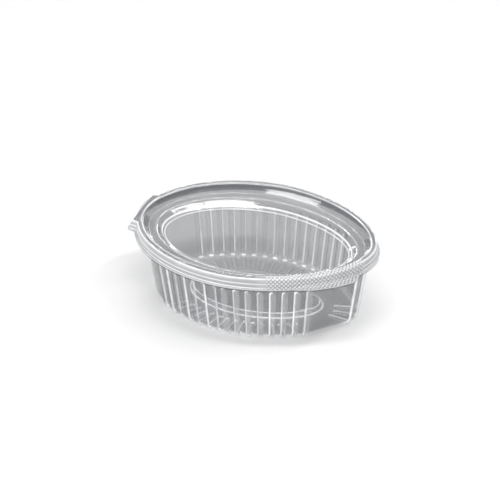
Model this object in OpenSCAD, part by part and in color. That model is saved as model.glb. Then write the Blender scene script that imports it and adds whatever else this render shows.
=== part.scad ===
// Hinged oval sauce cup: a clear thermoformed tub and lid, formed as one sheet
// and folded shut at a straight fold on the blunt end. Millimetres, +Z up, the
// fold towards -X and the nose towards +X, standing on the feet of the flutes.

/* [Sheet] */
// Thickness of the formed sheet
sheet = 0.4; // [0.3:0.05:0.6]
// Clearance between the lid and the tub where the rims nest
nest_gap = 0.25; // [0.15:0.05:0.35]

/* [Oval] */
// Power of the oval: 2 is an ellipse, less makes both ends more pointed
oval_power = 1.88; // [1.8:0.02:2.2]
// How much narrower the nose half is than the hinge half
nose_taper = 0.05; // [0:0.01:0.1]

/* [Rim] */
// Length over the crown of the closed rim
rim_length = 100; // [90:1:120]
// Width over the crown of the closed rim
rim_width = 75; // [68:1:90]
// Width of the flat lip that runs round the foot of the crown
lip_width = 1; // [0.6:0.1:2]
// Height of the crown's top above the plane where the two lips meet
crown_height = 4.7; // [4:0.1:6]
// Width of the crown, from its outer edge to the recess
crown_width = 3.4; // [3.2:0.1:4.2]

/* [Tub] */
// Height of the plane where the two lips meet above the table
tub_height = 28.5; // [22:0.5:40]
// Length inside the wall, just below the rim
wall_length = 91; // [84:0.2:94]
// Width inside the wall, just below the rim
wall_width = 63.4; // [56:0.2:66]
// Inward lean of the wall from the rim down to the floor
wall_draft = 3; // [1:0.1:4]
// Smooth band between the lips and the tops of the flutes
band_height = 4.2; // [3:0.1:8]
// Radius-like bevel where the wall meets the floor
foot_bevel = 1.3; // [0.8:0.1:2.5]

/* [Flutes] */
// Flutes in the row along each long side
flute_count = 15; // [9:1:15]
// Distance from one flute to the next along the wall
flute_pitch = 4.5; // [4:0.05:4.6]
// Width of a flute's flat crest
crest_width = 1.7; // [1.2:0.1:2]
// Width of each sloping side of a flute
flank_width = 0.5; // [0.3:0.05:0.6]
// How far a flute stands out from the wall
flute_depth = 0.8; // [0.4:0.1:1.2]
// Flutes on each side of the one at the tip of the nose
nose_flutes = 1; // [0:1:1]
// Distance between the flutes of the nose
nose_pitch = 5.3; // [4.6:0.1:5.6]

/* [Floor] */
// How far the flutes run in under the floor as channels
channel_length = 10; // [6:0.5:11]
// Depth of the channels below the floor
channel_depth = 0.8; // [0.4:0.1:1.2]
// Length of the raised panel in the middle of the floor
raised_length = 56; // [40:1:58]
// Width of the raised panel
raised_width = 31; // [22:1:33]
// Height of the raised panel above the floor
raised_height = 1.8; // [0.8:0.1:3]

/* [Lid] */
// Length of the lid's flat clear panel
panel_length = 77.6; // [66:0.2:80]
// Width of the lid's flat clear panel
panel_width = 47.8; // [42:0.2:52]
// Depth of the clear panel below the crown's top
panel_depth = 6.3; // [5.6:0.1:7.5]
// Depth of the ledge round the recess below the crown's top
ledge_depth = 3.2; // [2.6:0.1:3.6]
// Distance from the crown's outer edge to the start of the ledge
ledge_start = 4.8; // [4.4:0.1:6]
// Distance from the crown's outer edge to the end of the ledge
ledge_end = 8; // [7:0.1:10]
// Height of the small step that frames the clear panel
frame_step = 0.4; // [0.2:0.1:0.8]

/* [Grip] */
// How far the lips stand out at the grip, beside the nose on the -Y side
grip_reach = 3; // [1:0.1:4]
// Parameter of the oval where the grip starts, near the nose
grip_start = 21; // [16:1:26]
// Parameter of the oval where the grip ends, towards the hinge
grip_end = 58; // [50:1:66]

/* [Hinge] */
// Length of the straight fold between lid and tub
fold_length = 20; // [14:1:26]
// Distance from the crown's outer edge out to the fold
fold_reach = 1.8; // [1.6:0.1:4]
// Radius of the rounded ear at each end of the fold
ear_radius = 0.9; // [0.6:0.1:1.2]

/* [Hidden] */
clear_plastic = [0.78, 0.8, 0.83, 0.6];
// Fixed forms of the mould: small roundings and how finely the oval is cut
skirt_flare = 0.2;
crown_round = 0.6;
crown_slope = 1;
flute_round = 1;
ledge_fall = 0.3;
row_shift = -1.4;
flute_margin = 0.3;
shoulder_width = 1.6;
grip_rise = 8;
grip_fall = 9;
facet_cuts = 5;
plain_cuts = 6;
tab_cuts = 3;

rim_a = rim_length / 2;
rim_b = rim_width / 2;
lip_a = rim_a + lip_width;
fold_x = rim_a + fold_reach;
// The origin lies midway between the fold and the tip of the nose's lip.
oval_x = (fold_x - lip_a) / 2;
// A profile runs midway in the nest clearance: the tub's sheet lies this far
// below it and the lid's this far above it, out to the sheet's far side.
near_skin = nest_gap / 2;
far_skin = nest_gap / 2 + sheet;
lip_z = tub_height;
crown_z = lip_z + crown_height - far_skin;
side_ratio = (rim_b - panel_width / 2) / (rim_a - panel_length / 2);
wall_a = wall_length / 2;
wall_b = wall_width / 2;
foot_a = wall_a - wall_draft;
foot_b = wall_b - wall_draft;
floor_z = far_skin + channel_depth;
flute_half = crest_width / 2 + flank_width;

// Point of an oval at parameter t, where 0 is the nose and 180 the hinge end
function signed_power(v, p) = sign(v) * pow(abs(v), p);
function oval(a, b, t) = [
    a * signed_power(cos(t), 2 / oval_power),
    b * signed_power(sin(t), 2 / oval_power) * (1 - nose_taper * cos(t))
];

// Table from distance along the foot of the wall to parameter t
table_steps = 90;
table_turn = 180 / table_steps;
function foot(i) = oval(foot_a, foot_b, i * table_turn);
function lengths(i = 0, sum = 0) =
    i > table_steps ? [] :
    let (s = i == 0 ? 0 : sum + norm(foot(i) - foot(i - 1)))
    concat([[s, i * table_turn]], lengths(i + 1, s));
foot_table = lengths();
half_length = foot_table[table_steps][0];
function turn_at(s) = lookup(s, foot_table);
// Parameter at which the rim is a given distance from the long axis
function turn_at_width(y) =
    180 - asin(pow(y / (rim_b * (1 + nose_taper)), oval_power / 2));

// The grip's outline: steep on the nose's side, then sloping back to the lip
grip_table = [
    [grip_start, 0],
    [grip_start + grip_rise, 1],
    [grip_end - grip_fall, 0.6],
    [grip_end, 0]
];

// Places along the wall, from the nose to the hinge end
nose_corner = nose_flutes * nose_pitch + flute_half + flute_margin;
row_length = (flute_count - 1) * flute_pitch;
row_start = (half_length - row_length) / 2 - row_shift;
facet_end = row_start - flute_half - flute_margin;
row_end = row_start + row_length + flute_half;
tab_corner = turn_at_width(fold_length / 2);
tab_shoulder = turn_at_width(fold_length / 2 + shoulder_width);

// A sample is [parameter, flute height, place along the facet, kept, side]. The
// place is -1 off the facet, and coarse rings use only the samples that are kept.
function flute(s) = [
    [turn_at(s - flute_half), 0, -1, true],
    [turn_at(s - crest_width / 2), 1, -1, false],
    [turn_at(s + crest_width / 2), 1, -1, true],
    [turn_at(s + flute_half), 0, -1, false]
];
half_samples = concat(
    [[turn_at(crest_width / 2), 1, -1, true], [turn_at(flute_half), 0, -1, false]],
    [for (i = [1:1:nose_flutes]) each flute(i * nose_pitch)],
    [for (i = [0:facet_cuts])
        [turn_at(nose_corner + (facet_end - nose_corner) * i / facet_cuts), 0, i / facet_cuts, true]],
    [for (i = [0:flute_count - 1]) each flute(row_start + i * flute_pitch)],
    [for (i = [1:plain_cuts])
        [turn_at(row_end) + (tab_shoulder - turn_at(row_end)) * i / (plain_cuts + 1), 0, -1, true]],
    [[tab_shoulder, 0, -1, true]],
    [for (i = [0:tab_cuts]) [tab_corner + (180 - tab_corner) * i / tab_cuts, 0, -1, true]]
);
half_count = len(half_samples);
fine_samples = concat(
    [for (i = [0:half_count - 1]) concat(half_samples[i], 1)],
    [for (i = [half_count - 2:-1:0]) concat(half_samples[i], -1)]
);
fine_count = len(fine_samples);
kept = [for (i = [0:fine_count - 1]) if (fine_samples[i][3]) i];
coarse_count = len(kept);

// A ring is [half length, half width, z, flute, channel, facet, tab, fine]. The
// four before the last say how far each form has grown there, from 0 to 1.
function ring(a, b, z, flute = 0, channel = 0, facet = 0, tab = 0, fine = false) =
    [a, b, z, flute, channel, facet, tab, fine];
facet_turns = [turn_at(nose_corner), turn_at(facet_end)];
function grip(r, q) =
    r[0] > rim_a && q[4] < 0 ? grip_reach * lookup(q[0], grip_table) : 0;
function place(r, q) =
    let (
        grow = r[3] * flute_depth * q[1] + grip(r, q),
        curve = oval(r[0] + grow, r[1] + grow, q[0]),
        chord_start = oval(r[0], r[1], facet_turns[0]),
        chord_end = oval(r[0], r[1], facet_turns[1]),
        chord = chord_start + (chord_end - chord_start) * q[2],
        flat = q[2] < 0 ? curve : curve + (chord - curve) * r[5],
        on_tab = r[6] == 1 && q[0] >= tab_corner,
        tab_y = fold_length / 2 * (180 - q[0]) / (180 - tab_corner),
        spot = on_tab ? [lip_a - r[0] - fold_x, tab_y] : flat
    )
    [spot[0] + oval_x, spot[1] * q[4], r[2] - r[4] * channel_depth * q[1]];
function ring_size(r) = r[7] ? fine_count : coarse_count;
function ring_points(r) =
    r[7] ? [for (q = fine_samples) place(r, q)] : [for (i = kept) place(r, fine_samples[i])];

// A skin is the profile moved along its own normals, up and inwards when positive
function side_normal(p, q) =
    let (u = [q[0] - p[0], q[2] - p[2]])
    [u[1], -u[0]] / norm(u);
function corner_normal(rings, i) =
    let (
        last = len(rings) - 1,
        before = side_normal(rings[max(i - 1, 0)], rings[max(i, 1)]),
        after = i == last ? [0, 1] : side_normal(rings[i], rings[i + 1])
    )
    (before + after) / (1 + before * after);
function moved(r, n, d) =
    ring(r[0] + n[0] * d, r[1] + n[0] * d, r[2] + n[1] * d, r[3], r[4], r[5], r[6], r[7]);
function skin(rings, d) =
    [for (i = [0:len(rings) - 1]) moved(rings[i], corner_normal(rings, i), d)];

// Triangles between two rings that start at points m and n, first inner then outer
function same_band(m, n, count) = [
    for (j = [0:count - 1])
        let (k = (j + 1) % count)
        each [[m + j, m + k, n + k], [m + j, n + k, n + j]]
];
function fan_band(fine, coarse, inner_fine) = [
    for (j = [0:coarse_count - 1])
        let (
            next = (j + 1) % coarse_count,
            from = kept[j],
            to = next == 0 ? fine_count : kept[next],
            fan = [for (k = [from:to - 1]) [fine + k, fine + (k + 1) % fine_count, coarse + j]],
            close = [fine + to % fine_count, coarse + next, coarse + j]
        )
        each [for (f = concat(fan, [close])) inner_fine ? f : [f[2], f[1], f[0]]]
];
function band(r, s, m, n) =
    r[7] == s[7] ? same_band(m, n, ring_size(r)) :
    r[7] ? fan_band(m, n, true) : fan_band(n, m, false);

// Closed sheet of plastic between two skins of one profile
module formed_sheet(rings, low, high) {
    upper = skin(rings, high);
    last = len(rings) - 1;
    loops = concat([for (i = [last:-1:0]) upper[i]], skin(rings, low));
    starts = [for (i = 0, at = 0; i < len(loops); at = at + ring_size(loops[i]), i = i + 1) at];
    points = [for (r = loops) each ring_points(r)];
    bands = [
        for (i = [0:len(loops) - 2])
            each band(loops[i], loops[i + 1], starts[i], starts[i + 1])
    ];
    top = [for (j = [ring_size(loops[0]) - 1:-1:0]) j];
    bottom = [for (j = [starts[len(loops) - 1]:len(points) - 1]) j];
    polyhedron(points = points, faces = concat(bands, [top, bottom]));
}

// Ring at a distance in from the crown's outer edge
function rim_ring(inset, z, tab = 0) =
    ring(rim_a - inset, rim_b - inset * side_ratio, z, tab = tab);

// Lips, skirt and crown, where the lid's rim nests over the tub's
function rim_profile(tab) = [
    ring(lip_a, rim_b + lip_width, lip_z, tab = 1),
    rim_ring(far_skin - skirt_flare, lip_z, tab),
    rim_ring(far_skin, crown_z - crown_round, tab),
    rim_ring(far_skin + crown_round, crown_z, tab),
    rim_ring(crown_width - crown_slope, crown_z),
    rim_ring(crown_width - near_skin, crown_z - crown_slope - near_skin)
];

band_z = lip_z - band_height;
foot_z = floor_z + foot_bevel;
shoulder_lean = wall_draft * flute_round / (band_z - foot_z);
raised_a = raised_length / 2;
raised_b = raised_width / 2;
tub_profile = concat(rim_profile(0), [
    ring(wall_a, wall_b, lip_z - far_skin),
    ring(wall_a, wall_b, band_z, fine = true),
    ring(wall_a - shoulder_lean, wall_b - shoulder_lean, band_z - flute_round, 1, 0, 0.8, fine = true),
    ring(foot_a, foot_b, foot_z, 1, 0, 1, fine = true),
    ring(foot_a - foot_bevel, foot_b - foot_bevel, floor_z, 1, 1, 1, fine = true),
    ring(foot_a - channel_length, foot_b - channel_length, floor_z, 0, 1, 0, fine = true),
    ring(foot_a - channel_length - channel_depth, foot_b - channel_length - channel_depth,
        floor_z, fine = true),
    ring(raised_a, raised_b, floor_z),
    ring(raised_a - raised_height / 2, raised_b - raised_height / 2, floor_z + raised_height)
]);

module tub() {
    color(clear_plastic)
        formed_sheet(tub_profile, -far_skin, -near_skin);
}

panel_z = lip_z + crown_height - panel_depth - far_skin;
ledge_z = lip_z + crown_height - ledge_depth - far_skin;
lid_profile = concat(rim_profile(1), [
    rim_ring(ledge_start, ledge_z),
    rim_ring(ledge_end, ledge_z - ledge_fall),
    ring(panel_length / 2 + frame_step, panel_width / 2 + frame_step, panel_z + frame_step),
    ring(panel_length / 2, panel_width / 2, panel_z)
]);

// Rounded ear on each end of the fold's upper edge
module fold_ears() {
    for (side = [-1, 1])
        translate([oval_x + lip_a - rim_a - fold_x + far_skin, side * fold_length / 2, crown_z - crown_round])
            sphere(r = ear_radius, $fn = 12);
}

module lid() {
    color(clear_plastic) {
        formed_sheet(lid_profile, near_skin, far_skin);
        fold_ears();
    }
}

tub();
lid();
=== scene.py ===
import math

import bpy
import numpy as np
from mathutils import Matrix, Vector


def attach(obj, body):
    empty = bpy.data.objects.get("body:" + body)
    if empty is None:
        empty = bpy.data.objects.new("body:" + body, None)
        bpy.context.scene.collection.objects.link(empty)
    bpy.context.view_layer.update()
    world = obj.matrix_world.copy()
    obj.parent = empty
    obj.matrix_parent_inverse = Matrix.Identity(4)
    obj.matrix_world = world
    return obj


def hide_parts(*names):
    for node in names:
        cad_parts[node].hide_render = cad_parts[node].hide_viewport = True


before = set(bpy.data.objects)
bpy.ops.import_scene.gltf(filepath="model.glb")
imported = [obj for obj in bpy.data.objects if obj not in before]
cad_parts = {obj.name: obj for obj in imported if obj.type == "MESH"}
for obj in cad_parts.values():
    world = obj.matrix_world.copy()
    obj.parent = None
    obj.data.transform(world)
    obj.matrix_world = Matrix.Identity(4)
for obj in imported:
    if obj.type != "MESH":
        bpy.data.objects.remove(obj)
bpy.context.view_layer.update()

bpy.context.scene.cycles.transparent_max_bounces = 32  # a ray meets up to a dozen layers of film
print("packed model loaded")

# Lengths are in millimetres here and turn into metres when a mesh is made.
sheet = {"thickness": 0.4, "nestGap": 0.25}
oval = {"power": 1.88, "noseTaper": 0.05, "centreX": 0.4}
rim = {"halfLength": 50, "halfWidth": 37.5, "lip": 0.96, "lipHeight": 28.5, "crown": 4.7,
       "crownWidth": 3.4, "sideRatio": 1.2143, "foldReach": 1.8, "foldLength": 20, "shoulder": 1.6}
crownZ = rim["lipHeight"] + rim["crown"] - sheet["nestGap"] / 2 - sheet["thickness"]
nearSkin = sheet["nestGap"] / 2
farSkin = nearSkin + sheet["thickness"]
midSkin = (nearSkin + farSkin) / 2


def signedPower(v, p):
    return np.sign(v) * np.abs(v) ** p


def ovalPoint(a, b, turn):
    c, s = np.cos(turn), np.sin(turn)
    x = a * signedPower(c, 2 / oval["power"])
    y = b * signedPower(s, 2 / oval["power"]) * (1 - oval["noseTaper"] * c)
    return x, y


def smooth(v):
    v = np.clip(v, 0, 1)
    return v * v * (3 - 2 * v)


class Run:  # distance along one half of an oval, from the nose to the hinge end
    def __init__(self, a, b):
        self.turn = np.linspace(0, math.pi, 4001)
        x, y = ovalPoint(a, b, self.turn)
        self.place = np.concatenate([[0], np.cumsum(np.hypot(np.diff(x), np.diff(y)))])
        self.length = self.place[-1]

    def turnAt(self, place):
        return np.interp(place, self.place, self.turn)

    def placeAt(self, turn):
        return np.interp(turn, self.turn, self.place)


def turnAtWidth(y):
    share = y / (rim["halfWidth"] * (1 + oval["noseTaper"]))
    return math.pi - math.asin(share ** (oval["power"] / 2))


tabCorner = turnAtWidth(rim["foldLength"] / 2)
tabShoulder = turnAtWidth(rim["foldLength"] / 2 + rim["shoulder"])
# The lips stand out as a grip beside the nose, on the -Y side: turn in degrees, share of the reach.
grip = {"reach": 3, "turns": (21, 29, 49, 58), "shares": (0, 1, 0.6, 0)}
tabTurns = np.concatenate([np.linspace(tabShoulder, tabCorner, 9), np.linspace(tabCorner, math.pi, 9)[1:]])


# A row is [half length, half width, height, flute, channel, facet, tab].
def row(a, b, z, flute=0, channel=0, facet=0, tab=0):
    return np.array([a, b, z, flute, channel, facet, tab], float)


def rimRow(inset, z, tab=0):
    return row(rim["halfLength"] - inset, rim["halfWidth"] - inset * rim["sideRatio"], z, tab=tab)


def bentRows(stations, cuts=5):
    # Each station is (row, length of its bend's legs, largest step after it).
    last = len(stations) - 1
    rows = []
    for i, (spot, leg, step) in enumerate(stations):
        bend = [spot]
        if 0 < i < last:
            before, after = stations[i - 1][0] - spot, stations[i + 1][0] - spot
            back, ahead = math.hypot(before[0], before[2]), math.hypot(after[0], after[2])
            leg = min(leg, 0.48 * back, 0.48 * ahead)
            start, end = spot + before * leg / back, spot + after * leg / ahead
            bend = [(1 - t) ** 2 * start + 2 * t * (1 - t) * spot + t * t * end for t in np.linspace(0, 1, cuts + 1)]
        if rows:
            gap = bend[0] - rows[-1]
            count = max(1, math.ceil(math.hypot(gap[0], gap[2]) / stations[i - 1][2]))
            rows += [rows[-1] + gap * k / count for k in range(1, count)]
        rows += bend
    return np.array(rows)


def offsetRows(rows, distance):
    # Moves the profile along its own normals: up and inwards when positive.
    slope = np.gradient(rows[:, [0, 2]], axis=0)
    slope[0], slope[-1] = rows[1, [0, 2]] - rows[0, [0, 2]], rows[-1, [0, 2]] - rows[-2, [0, 2]]
    length = np.hypot(slope[:, 0], slope[:, 1])
    moved = rows.copy()
    moved[:, 0] += slope[:, 1] / length * distance
    moved[:, 1] += slope[:, 1] / length * distance
    moved[:, 2] -= slope[:, 0] / length * distance
    return moved


def bothHalves(halfTurns):
    # Columns run once round the oval: the nose first, then +Y, the hinge end and -Y.
    other = halfTurns[1]
    return np.concatenate([halfTurns[0], -other[::-1]])


def gridNormals(points):
    along = np.roll(points, -1, 1) - np.roll(points, 1, 1)
    across = np.gradient(points, axis=0)
    normals = np.cross(along, across)
    return normals / np.maximum(np.linalg.norm(normals, axis=2, keepdims=True), 1e-12)


def bendiness(points, normals, start, full):
    # How sharply the sheet bends there, from 0 to 1, in curvature per millimetre.
    acrossN, acrossP = np.gradient(normals, axis=0), np.gradient(points, axis=0)
    alongN = np.roll(normals, -1, 1) - np.roll(normals, 1, 1)
    alongP = np.roll(points, -1, 1) - np.roll(points, 1, 1)
    curve = sum(
        (np.linalg.norm(n, axis=2) / np.maximum(np.linalg.norm(p, axis=2), 0.02)) ** 2
        for n, p in ((acrossN, acrossP), (alongN, alongP))
    ) ** 0.5
    return smooth((curve - start) / (full - start))


def paintedHighlightLines(rows, marks):
    # Fine painted highlight lines that run round the piece: (half length, height, width, strength) of each.
    run = np.concatenate([[0], np.cumsum(np.hypot(np.diff(rows[:, 0]), np.diff(rows[:, 2])))])
    field = np.zeros(len(rows))
    for a, z, width, strength in marks:
        middle = run[np.argmin(np.hypot(rows[:, 0] - a, rows[:, 2] - z))]
        field = np.maximum(field, strength * np.exp(-(((run - middle) / width) ** 2)))
    return field[:, None]


def makeFilm(name, points, upper, lower, fields, extra=None):
    # Closed sheet between two skins over one grid of rows and columns.
    rows, columns = points.shape[:2]
    normals = gridNormals(points)
    skins = [points + normals * upper[..., None], points + normals * lower[..., None]]
    spots = np.concatenate([s.reshape(-1, 3) for s in skins])
    index = np.arange(rows * columns).reshape(rows, columns)
    nextColumn = np.roll(index, -1, 1)
    quads = np.stack([index[:-1], nextColumn[:-1], nextColumn[1:], index[1:]], axis=-1).reshape(-1, 4)
    low = quads[:, ::-1] + rows * columns
    edge = np.stack([index[0] + rows * columns, nextColumn[0] + rows * columns, nextColumn[0], index[0]], axis=-1)
    faces = np.concatenate([quads, low, edge]).tolist()
    faces += [index[-1].tolist(), (index[-1] + rows * columns)[::-1].tolist()]
    values = {key: np.concatenate([field.ravel(), field.ravel()]) for key, field in fields.items()}
    for bulbSpots, bulbFaces, bulbValue in extra or []:
        faces += [[i + len(spots) for i in face] for face in bulbFaces]
        spots = np.concatenate([spots, bulbSpots])
        values = {key: np.concatenate([value, np.full(len(bulbSpots), bulbValue.get(key, 0.0))])
                  for key, value in values.items()}
    mesh = bpy.data.meshes.new(name)
    mesh.from_pydata((spots * 0.001).tolist(), [], faces)
    mesh.validate()
    for key, value in values.items():
        mesh.attributes.new(key, "FLOAT", "POINT").data.foreach_set("value", value.astype(np.float32))
    mesh.shade_smooth()
    mesh.set_sharp_from_angle(angle=math.radians(50))
    piece = bpy.data.objects.new(name, mesh)
    bpy.context.scene.collection.objects.link(piece)
    print(name, len(mesh.polygons), "faces")
    return piece


def placed(rows, turns, facetTurns=None, fluteField=None, fluteDepth=0, channelDepth=0):
    # Every point of the sheet's middle, as rows by columns.
    a, b, z = (rows[:, i][:, None] for i in range(3))
    form = 0 if fluteField is None else fluteField
    swell = np.interp(np.degrees(-turns), grip["turns"], grip["shares"], left=0, right=0)
    lip = smooth((a - rim["halfLength"] + farSkin) / (rim["lip"] + farSkin - 0.1)) * (z < rim["lipHeight"] + 1)
    grow = rows[:, 3][:, None] * fluteDepth * form + lip * swell[None, :] * grip["reach"]
    x, y = ovalPoint(a + grow, b + grow, turns[None, :])
    if facetTurns is not None:
        share = np.clip((np.abs(turns) - facetTurns[0]) / (facetTurns[1] - facetTurns[0]), 0, 1)
        inside = (np.abs(turns) >= facetTurns[0]) & (np.abs(turns) <= facetTurns[1])
        x0, y0 = ovalPoint(a, b, facetTurns[0])
        x1, y1 = ovalPoint(a, b, facetTurns[1])
        pull = rows[:, 5][:, None] * inside
        x = x + pull * (x0 + (x1 - x0) * share - x)
        y = y + pull * (np.sign(turns) * (y0 + (y1 - y0) * share) - y)
    onTab = rows[:, 6][:, None] * smooth((np.abs(turns) - tabShoulder) / (tabCorner - tabShoulder))
    tabX = rim["halfLength"] + 1 - a - rim["halfLength"] - rim["foldReach"] + 0 * turns
    tabY = np.sign(turns) * rim["foldLength"] / 2 * np.clip((math.pi - np.abs(turns)) / (math.pi - tabCorner), 0, 1.08)
    x, y = x + onTab * (tabX - x), y + onTab * (tabY - y)
    depth = rows[:, 4][:, None] * channelDepth * form
    return np.stack([x + oval["centreX"], y + 0 * x, z - depth + 0 * x], axis=-1)


def rimStations(tab, step):
    inner = crownZ - 1 - nearSkin
    return [
        (row(rim["halfLength"] + rim["lip"], rim["halfWidth"] + rim["lip"], rim["lipHeight"], tab=1), 0, step / 3),
        (rimRow(farSkin - 0.2, rim["lipHeight"], tab), 0.45, step),
        (rimRow(farSkin, crownZ, tab), 0.85, step),
        (rimRow(rim["crownWidth"] - 1, crownZ), 0.5, step),
        (rimRow(rim["crownWidth"] - nearSkin, inner), 0.3, step),
    ]


# Tub: rim, smooth band, flutes that run on under the floor, and the raised panel
tub = {"wallA": 45.5, "wallB": 31.7, "draft": 3, "band": 4.2, "bevel": 1.3, "channel": 10,
       "channelDepth": 0.8, "raisedA": 28, "raisedB": 15.5, "raised": 1.8}
flute = {"count": 15, "pitch": 4.5, "half": 1.3, "flank": 0.5, "depth": 0.8, "nosePitch": 5.3, "shift": 1.4}
# Opacity of each zone, then the strengths of the painted highlight lines
tubLook = {"wall": 0.25, "floor": 0.12, "rim": 0.22,
          "noseFlank": 0.15, "backChannels": 0.06, "frontLines": 0.9}
footA, footB = tub["wallA"] - tub["draft"], tub["wallB"] - tub["draft"]
floorZ = farSkin + tub["channelDepth"]
bandZ, footZ = rim["lipHeight"] - tub["band"], floorZ + tub["bevel"]
foot = Run(footA, footB)
rowLength = (flute["count"] - 1) * flute["pitch"]
rowStart = (foot.length - rowLength) / 2 + flute["shift"]
fluteCentres = [0, flute["nosePitch"]] + [rowStart + i * flute["pitch"] for i in range(flute["count"])]
facetPlaces = (flute["nosePitch"] + flute["half"] + 0.3, rowStart - flute["half"] - 0.3)
facetTurns = [float(foot.turnAt(p)) for p in facetPlaces]


def tubColumns():
    near = [0, 0.5, 0.8, 0.95, 1.15, 1.35]
    places = {0.0}
    for centre in fluteCentres:
        places |= {round(centre + side * d, 4) for d in near for side in (-1, 1)}
    places |= {rowStart + (i + 0.5) * flute["pitch"] for i in range(flute["count"] - 1)}
    places |= set(np.linspace(facetPlaces[0], facetPlaces[1], 9).tolist())
    places |= set(np.arange(fluteCentres[-1] + 2, foot.placeAt(tabShoulder) - 0.3, 0.9).tolist())
    half = [float(foot.turnAt(p)) for p in sorted(places) if 0 < p < foot.placeAt(tabShoulder) - 0.2]
    half = np.array(half + tabTurns[:-1].tolist())
    return bothHalves([np.concatenate([[0], half, [math.pi]]), half])


def tubFilm():
    stations = rimStations(0, 1.2) + [
        (row(tub["wallA"], tub["wallB"], rim["lipHeight"] - farSkin), 0.3, 1.2),
        (row(tub["wallA"], tub["wallB"], bandZ + 0.3), 0.3, 0.24),
        (row(tub["wallA"] - 0.15, tub["wallB"] - 0.15, bandZ - 1.3, 1), 0.2, 2.4),
        (row(footA, footB, footZ - 0.2, 1, 0, 1), 1.0, 0.4),
        (row(footA - tub["bevel"], footB - tub["bevel"], floorZ, 1, 1, 1), 0.8, 1.6),
        (row(footA - tub["channel"] + 1.6, footB - tub["channel"] + 1.6, floorZ, 1, 1, 0), 0.1, 0.24),
        (row(footA - tub["channel"] - 0.3, footB - tub["channel"] - 0.3, floorZ, 1, 1, 0), 0.1, 1.5),
        (row(tub["raisedA"] + 0.3, tub["raisedB"] + 0.3, floorZ), 0.4, 0.5),
        (row(tub["raisedA"] - 0.9, tub["raisedB"] - 0.9, floorZ + tub["raised"]), 0.4, 1),
        (row(tub["raisedA"] - 2.5, tub["raisedB"] - 2.5, floorZ + tub["raised"]), 0, 1),
    ]
    rows = bentRows(stations, 4)
    wall = rows[:, 2] > footZ - 0.01
    rows[:, 3] = (rows[:, 2] < bandZ + 0.31) & (rows[:, 0] > tub["raisedA"] + 1) & (rows[:, 0] < tub["wallA"] + 0.01)
    rows[:, 5] = np.where(wall, smooth((bandZ - rows[:, 2]) / 4), smooth((rows[:, 0] - footA + tub["channel"]) / 7))
    rows[:, 4] = np.where(wall, 0, rows[:, 4])
    turns = tubColumns()
    place = foot.placeAt(np.abs(turns))
    away = np.min([np.abs(place - c) for c in fluteCentres], axis=0)
    archZ, channelEnd = bandZ - flute["half"], footA - tub["channel"] + flute["half"]
    over = np.where(wall, np.maximum(rows[:, 2] - archZ, 0), np.maximum(channelEnd - rows[:, 0], 0))
    field = smooth((flute["half"] - np.hypot(away[None, :], over[:, None])) / flute["flank"])
    field = field * (rows[:, 3] > 0)[:, None]
    points = placed(offsetRows(rows, -midSkin), turns, facetTurns, field, flute["depth"], tub["channelDepth"])
    # Painted highlight lines on the flutes: one flank of each is painted lit (the hinge-side flank on the nose half,
    # the nose-side flank on the hinge half) and the other kept dim, as light from one side would show them.
    nearest = np.argmin([np.abs(place - c) for c in fluteCentres], axis=0)
    paintedLitFlank = smooth((place - np.array(fluteCentres)[nearest]) / 0.8 + 0.5)
    towardHinge = smooth((place / foot.length - 0.5) / 0.08)
    paintedLitFlank = paintedLitFlank + towardHinge * (1 - 2 * paintedLitFlank)
    weight = np.where(wall[:, None], tubLook["noseFlank"] + (1 - tubLook["noseFlank"]) * paintedLitFlank[None, :],
                      np.where(turns > 0.4, tubLook["backChannels"], 1)[None, :])
    uneven = np.random.default_rng(5).uniform(0.55, 1, (2, len(fluteCentres)))[(turns < 0).astype(int), nearest]
    frontWall = wall[:, None] & (turns < 0)[None, :]
    weight = weight * np.where(frontWall, tubLook["frontLines"] * uneven[None, :], 0.5 + 0.5 * uneven[None, :])
    bend = np.maximum(0.25 * bendiness(points, gridNormals(points), 0.6, 2.2), (4 * field * (1 - field)) ** 0.7) * weight
    # Painted highlight lines round the raised panel, on the crown and along the wall's foot, the foot line weaker on
    # the -Y side.
    ring = paintedHighlightLines(rows, [
        (tub["raisedA"] + 0.3, floorZ, 0.45, 1), (tub["raisedA"] - 0.9, floorZ + tub["raised"], 0.45, 1),
        (rim["halfLength"] - 0.9, crownZ, 0.3, 0.2), (rim["halfLength"] - 2.4, crownZ, 0.3, 0.15)])
    footLine = paintedHighlightLines(rows, [(footA - 0.6, floorZ + 0.5, 0.55, 1)])
    footLine = footLine * (0.4 + 0.6 * field) * np.where(turns > 0, 1, 0.7)[None, :]
    bend = np.clip(np.maximum(np.maximum(bend, ring), footLine), 0, 1)
    half = np.full(points.shape[:2], sheet["thickness"] / 2)
    cover = tubLook["wall"] + (tubLook["floor"] - tubLook["wall"]) * smooth((footZ + 1.5 - rows[:, 2]) / 2)
    cover += (tubLook["rim"] - tubLook["wall"]) * smooth((rows[:, 2] - bandZ) / 2)
    # Painted sheen on the wall's flute crests: strong on the nose half, weak on the hinge half, and half as strong on
    # the -Y side.
    pale = (0.9 - 0.75 * towardHinge) * np.where(turns < 0, 0.5, 1)
    crest = field * wall[:, None] * pale[None, :]
    return makeFilm("cupTub", points, half, -half, {"bend": bend, "crest": crest, "cover": cover[:, None] + 0 * bend})


# Lid: rim, recess, ledge and framed clear panel, with the knurled grip on its rim
lid = {"panelA": 38.8, "panelB": 23.9, "panelDepth": 6.3, "ledgeDepth": 3.2, "ledgeStart": 4.8,
       "ledgeEnd": 8, "frame": 0.4}
lidLook = {"panel": 0.14, "ring": 0.3, "paintedRimSheen": 0.66}  # opacity of each zone, then the strength of the painted sheen on the rim
# Each ear bulb gets a fixed strength of painted highlight (bend) and an opacity (cover).
ear = {"halfLength": 1.15, "radius": 0.8, "inwards": 0.62, "below": 0.55, "bend": 0.6, "cover": 0.3}
knurl = {"fromX": 15, "toX": 48, "pitch": 1.7, "depth": 0.22, "fades": (3, 8)}
crownRun = Run(rim["halfLength"], rim["halfWidth"])


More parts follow.
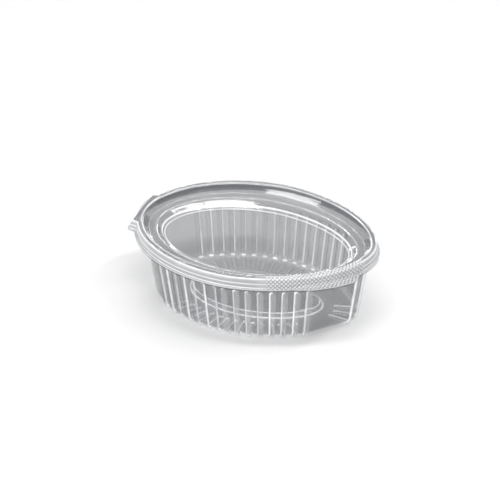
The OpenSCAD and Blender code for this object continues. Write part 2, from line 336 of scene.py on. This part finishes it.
def placeAtX(x):
    turn = np.linspace(0, math.pi, 2001)
    along = ovalPoint(rim["halfLength"], rim["halfWidth"], turn)[0]
    return float(crownRun.placeAt(np.interp(-x, -along, turn)))


def lidColumns():
    end = float(crownRun.placeAt(tabShoulder)) - 0.3
    plain = np.arange(0.9, end, 0.9)
    start, stop = placeAtX(knurl["toX"]) - 1, placeAtX(knurl["fromX"]) + 1
    gripped = np.concatenate([np.arange(0.9, start, 0.9), np.arange(start, stop, 0.22), np.arange(stop, end, 0.9)])
    sides = [np.concatenate([crownRun.turnAt(p), tabTurns[:-1]]) for p in (plain, gripped)]
    return bothHalves([np.concatenate([[0], sides[0], [math.pi]]), sides[1]])


def earBulb(side):
    # Small rounded bulb that closes each end of the fold's upper edge.
    foldX = oval["centreX"] + 1 - rim["foldReach"] - rim["halfLength"]
    centre = np.array([foldX + ear["inwards"], side * rim["foldLength"] / 2, crownZ - ear["below"]])
    rings, ring = 9, 14
    spots, faces = [centre - [0, ear["halfLength"], 0]], []
    for i in range(1, rings):
        angle = math.pi * i / rings
        radius = ear["radius"] * math.sin(angle) ** 0.8
        for k in range(ring):
            turn = 2 * math.pi * k / ring
            spots.append(centre + [radius * math.cos(turn), -ear["halfLength"] * math.cos(angle), radius * math.sin(turn)])
    spots.append(centre + [0, ear["halfLength"], 0])
    for k in range(ring):
        n = (k + 1) % ring
        faces.append([0, 1 + n, 1 + k])
        for i in range(rings - 2):
            faces.append([1 + i * ring + k, 1 + i * ring + n, 1 + (i + 1) * ring + n, 1 + (i + 1) * ring + k])
        faces.append([1 + (rings - 2) * ring + k, 1 + (rings - 2) * ring + n, len(spots) - 1])
    return np.array(spots), faces, {key: ear[key] for key in ("bend", "cover")}


def lidFilm():
    top = rim["lipHeight"] + rim["crown"] - farSkin
    ledgeZ, panelZ = top - lid["ledgeDepth"], top - lid["panelDepth"]
    stations = rimStations(1, 0.24) + [
        (rimRow(lid["ledgeStart"], ledgeZ), 0.45, 0.8),
        (rimRow(lid["ledgeEnd"], ledgeZ - 0.3), 0.5, 0.9),
        (row(lid["panelA"] + lid["frame"], lid["panelB"] + lid["frame"], panelZ + lid["frame"]), 0.25, 0.3),
        (row(lid["panelA"], lid["panelB"], panelZ), 0.25, 0.5),
        (row(lid["panelA"] - 1.5, lid["panelB"] - 1.5, panelZ), 0, 1),
    ]
    rows = bentRows(stations)
    turns = lidColumns()
    points = placed(offsetRows(rows, midSkin), turns)
    across = np.concatenate([[0], np.cumsum(np.hypot(np.diff(rows[:, 0]), np.diff(rows[:, 2])))])
    place = crownRun.placeAt(np.abs(turns))
    start, stop = placeAtX(knurl["toX"]), placeAtX(knurl["fromX"])
    fadeIn, fadeOut = knurl["fades"]
    window = smooth((place - start) / fadeIn + 0.5) * smooth((stop - place) / fadeOut + 0.5) * (turns < 0)
    crownEnd = across[np.argmax(rows[:, 0] < rim["halfLength"] - rim["crownWidth"] + 0.6)]
    band = smooth((across - 0.1) / 0.2) * smooth((crownEnd - across) / 0.5)
    steps = np.linalg.norm(np.diff(points, axis=0), axis=2)
    down = np.concatenate([np.zeros((1, len(turns))), np.cumsum(steps, axis=0)])
    down = down - down[np.argmax(across > crownEnd)][None, :]
    u = (place[None, :] + down) / knurl["pitch"] % 1
    v = (place[None, :] - down) / knurl["pitch"] % 1
    pyramid = np.minimum(1 - np.abs(2 * u - 1), 1 - np.abs(2 * v - 1))
    groove = band[:, None] * window[None, :] * smooth(1 - pyramid * 1.8)
    skirtA = rim["halfLength"] + 0.1
    # Painted highlight lines along the panel frame, ledge, crown, skirt and lip, and wherever the lid bends sharply,
    # fainter on the knurl.
    lines = paintedHighlightLines(rows, [
        (lid["panelA"] - 0.1, panelZ, 0.3, 1), (lid["panelA"] + 1.0, panelZ + 1.0, 0.25, 0.75),
        (rim["halfLength"] - lid["ledgeEnd"], ledgeZ - 0.3, 0.3, 0.35),
        (rim["halfLength"] - lid["ledgeStart"], ledgeZ, 0.25, 0.3),
        (rim["halfLength"] - 0.6, crownZ + 0.5, 0.22, 0.45), (rim["halfLength"] - 2.4, crownZ + 0.5, 0.28, 0.55),
        (skirtA, rim["lipHeight"] + 0.5, 0.3, 0.5), (skirtA, rim["lipHeight"] + 2.4, 0.22, 0.35),
        (rim["halfLength"] + rim["lip"], rim["lipHeight"], 0.2, 0.15)])
    knurled = band[:, None] * window[None, :]
    bend = np.clip(np.maximum(0.4 * bendiness(points, gridNormals(points), 0.6, 2.2), lines) * (1 - 0.75 * knurled), 0, 1)
    half = np.full(points.shape[:2], sheet["thickness"] / 2)
    cover = lidLook["panel"] + (lidLook["ring"] - lidLook["panel"]) * smooth((rows[:, 0] - lid["panelA"]) / 1.5)
    # Painted sheen on the rim's outer band, and painted glints on the knurl's diamonds that fade into its grooves.
    paintedRimSheen = lidLook["paintedRimSheen"] * smooth((rows[:, 0] - rim["halfLength"] + 1.6) / 1.2)[:, None]
    crest = paintedRimSheen * (1 - knurled) + knurled * (1.1 - 0.7 * groove)
    fields = {"bend": bend, "crest": crest, "cover": cover[:, None] + 0 * bend}
    return makeFilm("cupLid", points, half - knurl["depth"] * groove, -half, fields, [earBulb(-1), earBulb(1)])


class Term:  # a socket in a sum, so that shader maths reads as Python
    def __init__(self, recipe, socket):
        self.recipe, self.socket = recipe, socket

    def join(self, operation, first, second):
        return self.recipe.node("ShaderNodeMath", {"operation": operation}, {0: first, 1: second})

    def __add__(self, other):
        return self.join("ADD", self, other)

    def __sub__(self, other):
        return self.join("SUBTRACT", self, other)

    def __rsub__(self, other):
        return self.join("SUBTRACT", other, self)

    def __mul__(self, other):
        return self.join("MULTIPLY", self, other)

    def __pow__(self, other):
        return self.join("POWER", self, other)

    __radd__, __rmul__ = __add__, __mul__

    def upTo(self, limit):
        return self.join("MINIMUM", self, limit)

    def atLeast(self, limit):
        return self.join("MAXIMUM", self, limit)


class Recipe:  # one material's nodes
    def __init__(self, name):
        self.material = bpy.data.materials.new(name)
        self.material.use_nodes = True
        self.tree = self.material.node_tree
        self.tree.nodes.clear()

    def node(self, kind, settings=None, sockets=None, out=0):
        made = self.tree.nodes.new(kind)
        for key, value in (settings or {}).items():
            setattr(made, key, value)
        for key, value in (sockets or {}).items():
            if isinstance(value, Term):
                self.tree.links.new(value.socket, made.inputs[key])
            else:
                made.inputs[key].default_value = value
        return Term(self, made.outputs[out])

    def blend(self, share, first, second):
        return self.node("ShaderNodeMix", {"data_type": "RGBA"}, {0: share, 6: first, 7: second}, 2)

    def finish(self, shader):
        output = self.tree.nodes.new("ShaderNodeOutputMaterial")
        self.tree.links.new(shader.socket, output.inputs["Surface"])
        return self.material


# The film's grey, the white of its painted highlights and painted glow, and the strengths of its painted highlight
# lines, painted sheen and painted grazing shade.
clearFilm = {"grey": (0.1, 0.108, 0.122, 1), "pale": (0.93, 0.94, 0.95, 1), "roughness": 0.06, "edge": 0.75,
             "bendHighlightWhite": 0.95, "bendCover": 0.6, "bendPaintedGlow": 0.65, "crestWhite": 0.85, "crestCover": 0.3, "grazingShadeStrength": 0.8}


def filmMaterial(name):
    r = Recipe(name)
    spot = r.node("ShaderNodeTexCoord", {}, {}, "Object")
    ripple = r.node("ShaderNodeTexNoise", {}, {"Vector": spot, "Scale": 170, "Detail": 2, "Roughness": 0.5})
    grain = r.node("ShaderNodeTexNoise", {}, {"Vector": spot, "Scale": 900, "Detail": 3, "Roughness": 0.6})
    bend = r.node("ShaderNodeAttribute", {"attribute_name": "bend"}, {}, "Fac")
    crest = r.node("ShaderNodeAttribute", {"attribute_name": "crest"}, {}, "Fac")
    cover = r.node("ShaderNodeAttribute", {"attribute_name": "cover"}, {}, "Fac")
    facing = r.node("ShaderNodeLayerWeight", {}, {"Blend": 0.5}, "Facing")
    grazingShade = 1 - clearFilm["grazingShadeStrength"] * facing ** 5  # painted shade: the painted white and glow fade where the film is seen along its surface
    # Painted highlights: the bend lines and the painted sheen turn the grey film white.
    paintedWhiteShare = (bend * (0.6 + 0.8 * ripple) * clearFilm["bendHighlightWhite"] + crest * clearFilm["crestWhite"]).upTo(1) * grazingShade
    colour = r.blend(paintedWhiteShare, clearFilm["grey"], clearFilm["pale"])
    alpha = (cover + (clearFilm["edge"] - cover) * facing ** 3 + bend * clearFilm["bendCover"]
             + crest * clearFilm["crestCover"]).upTo(0.95)
    paintedGlow = bend * clearFilm["bendPaintedGlow"] * (0.5 + ripple) * grazingShade  # painted glow that lights up the painted bend lines, though the film is no lamp
    paintedGlowColour = r.blend(paintedGlow.upTo(1), (0, 0, 0, 1), clearFilm["pale"])
    bump = r.node("ShaderNodeBump", {}, {"Strength": 0.25, "Distance": 0.0004, "Height": ripple})
    shader = r.node("ShaderNodeBsdfPrincipled", {}, {
        "Base Color": colour, "Alpha": alpha, "Roughness": clearFilm["roughness"] + 0.08 * grain, "Normal": bump,
        "Emission Color": paintedGlowColour, "Emission Strength": 1.0,
        "IOR": 1.58, "Specular IOR Level": 0.5, "Coat Weight": 1.0, "Coat Roughness": 0.03, "Coat IOR": 1.5})
    return r.finish(shader)


def dress(piece, body, node, material):
    piece.data.materials.append(material)
    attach(piece, body)
    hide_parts(node)


cupTub = tubFilm()
dress(cupTub, "tub", "tub", filmMaterial("clearTubFilm"))
print("tub made")
cupLid = lidFilm()
dress(cupLid, "lid", "lid", filmMaterial("clearLidFilm"))
print("lid made")

# Floor and light
studio = {"floor": (0.78, 0.78, 0.785, 1), "lift": 0.16, "world": 0.15}


def makeFloor():
    mesh = bpy.data.meshes.new("studioFloor")
    reach = 6
    mesh.from_pydata([(-reach, -reach, 0), (reach, -reach, 0), (reach, reach, 0), (-reach, reach, 0)], [], [(0, 1, 2, 3)])
    floor = bpy.data.objects.new("studioFloor", mesh)
    bpy.context.scene.collection.objects.link(floor)
    r = Recipe("paleFloor")
    seen = paths = r.node("ShaderNodeLightPath", {}, {}, "Is Camera Ray")
    for name in ("Is Glossy Ray", "Is Transmission Ray"):
        seen = seen.atLeast(Term(r, paths.socket.node.outputs[name]))
    lift = r.blend(seen, (0, 0, 0, 1), (studio["lift"],) * 3 + (1,))
    shader = r.node("ShaderNodeBsdfPrincipled", {}, {
        "Base Color": studio["floor"], "Roughness": 0.9, "Specular IOR Level": 0.1,
        "Emission Color": lift, "Emission Strength": 1.0})
    mesh.materials.append(r.finish(shader))


def makeWorld():
    world = bpy.data.worlds.new("studioWorld")
    bpy.context.scene.world = world
    world.use_nodes = True
    tree = world.node_tree
    tree.nodes.clear()
    paths = tree.nodes.new("ShaderNodeLightPath")
    widest = paths.outputs["Is Camera Ray"]
    for name in ("Is Glossy Ray", "Is Transmission Ray"):
        most = tree.nodes.new("ShaderNodeMath")
        most.operation = "MAXIMUM"
        tree.links.new(widest, most.inputs[0])
        tree.links.new(paths.outputs[name], most.inputs[1])
        widest = most.outputs[0]
    strength = tree.nodes.new("ShaderNodeMapRange")
    strength.inputs["To Min"].default_value = studio["world"]
    strength.inputs["To Max"].default_value = 1.0
    tree.links.new(widest, strength.inputs["Value"])
    sky = tree.nodes.new("ShaderNodeBackground")
    sky.inputs["Color"].default_value = (1, 1, 1, 1)
    tree.links.new(strength.outputs[0], sky.inputs["Strength"])
    output = tree.nodes.new("ShaderNodeOutputWorld")
    tree.links.new(sky.outputs[0], output.inputs["Surface"])


def softbox(name, place, aim, size, radiance, roll=0):
    lamp = bpy.data.lights.new(name, "AREA")
    lamp.shape, lamp.size, lamp.size_y = "RECTANGLE", size[0], size[1]
    lamp.energy = radiance * size[0] * size[1] * math.pi
    holder = bpy.data.objects.new(name, lamp)
    holder.location = place
    turn = (Vector(aim) - Vector(place)).to_track_quat("-Z", "Y").to_euler()
    holder.rotation_euler = (0, 0, math.radians(roll)) if roll else turn
    bpy.context.scene.collection.objects.link(holder)


makeFloor()
makeWorld()
softbox("overheadLeft", (0.04, -0.14, 0.75), (0, 0, 0), (0.38, 0.1), 17, roll=16)
softbox("overheadRight", (0.41, 0.14, 0.75), (0, 0, 0), (0.54, 0.09), 17, roll=57)
softbox("frontLeftBox", (-0.45, -0.8, 0.16), (0, 0, 0.02), (0.9, 0.12), 12)
softbox("flankStrip", (-0.46, -0.52, 0.75), (0, 0, 0), (0.68, 0.08), 14, roll=-11)
softbox("frontRightBox", (0.62, -0.62, 0.35), (0, 0, 0.02), (0.25, 0.3), 7)
softbox("backLow", (-0.33, 0.72, 0.28), (0, 0, 0.02), (1.2, 0.03), 18)
softbox("backHigh", (-0.25, 0.5, 0.6), (0, 0, 0.02), (0.7, 0.03), 18)
print("floor and light made")

# Camera at the photograph's angle
view = {"elevation": 33.70, "azimuth": 17.83, "distance": 0.897, "focal": 2207.7,
        "target": (0.02382, 0, 0), "pixel": (311.57, 307.08)}


def makeCamera():
    e, a = math.radians(view["elevation"]), math.radians(view["azimuth"])
    forward = Vector((-math.sin(a) * math.cos(e), math.cos(a) * math.cos(e), -math.sin(e)))
    right = forward.cross(Vector((0, 0, 1))).normalized()
    up = right.cross(forward)
    place = Vector(view["target"]) - forward * view["distance"]
    aim = forward * view["focal"] + right * (250 - view["pixel"][0]) - up * (250 - view["pixel"][1])
    lens = bpy.data.cameras.new("photoCamera")
    lens.sensor_width = 36
    lens.lens = 36 * view["focal"] / 500
    lens.clip_start, lens.clip_end = 0.05, 50
    camera = bpy.data.objects.new("photoCamera", lens)
    camera.location = place
    camera.rotation_euler = aim.to_track_quat("-Z", "Y").to_euler()
    bpy.context.scene.collection.objects.link(camera)
    bpy.context.scene.camera = camera


makeCamera()
bpy.context.scene.view_settings.view_transform = "Standard"
